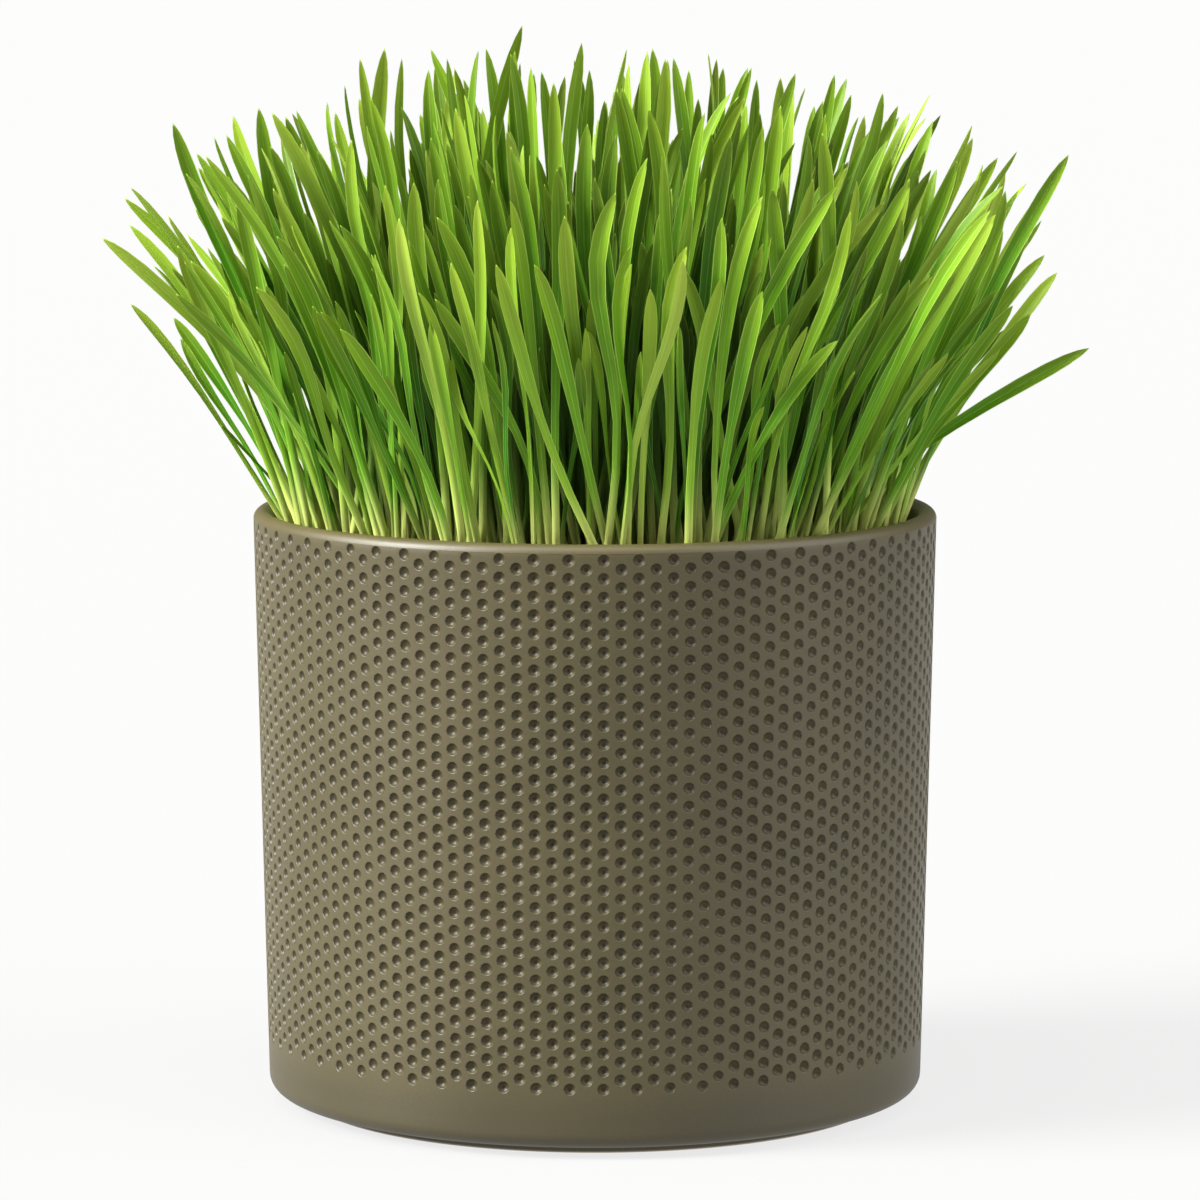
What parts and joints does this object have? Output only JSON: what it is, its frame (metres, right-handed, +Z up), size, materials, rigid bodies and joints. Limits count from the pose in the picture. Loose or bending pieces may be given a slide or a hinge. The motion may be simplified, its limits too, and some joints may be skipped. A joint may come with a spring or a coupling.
{
  "type": "wheatgrass pot",
  "caption": "Dense wheatgrass growing in a round stoneware pot with dimpled sides, a rounded lip and a recessed foot, standing on a flat surface.",
  "frame": {"origin": "centre of the pot's foot, on the surface that the pot stands on", "axes": "+Z up along the pot's axis, -Y towards the viewer of the picture, +X to the viewer's right"},
  "size_m": [0.2554, 0.23, 0.2833],
  "materials": {
    "stoneware": "matte",
    "soil": "matte",
    "leaf": "satin"
  },
  "bodies": {
    "root": {"pot": "stoneware", "soil": "soil", "tuft_01": "leaf", "tuft_02": "leaf", "tuft_03": "leaf", "tuft_04": "leaf", "tuft_05": "leaf", "tuft_06": "leaf", "tuft_07": "leaf", "tuft_08": "leaf", "tuft_09": "leaf", "tuft_10": "leaf", "tuft_11": "leaf", "tuft_12": "leaf", "tuft_13": "leaf", "tuft_14": "leaf", "tuft_15": "leaf", "tuft_16": "leaf", "tuft_17": "leaf", "tuft_18": "leaf", "tuft_19": "leaf", "tuft_20": "leaf", "tuft_21": "leaf", "tuft_22": "leaf", "tuft_23": "leaf", "tuft_24": "leaf", "tuft_25": "leaf", "tuft_26": "leaf", "tuft_27": "leaf", "tuft_28": "leaf", "tuft_29": "leaf", "tuft_30": "leaf", "tuft_31": "leaf", "tuft_32": "leaf", "tuft_33": "leaf", "tuft_34": "leaf", "tuft_35": "leaf", "tuft_36": "leaf", "tuft_37": "leaf"}
  },
  "joints": []
}
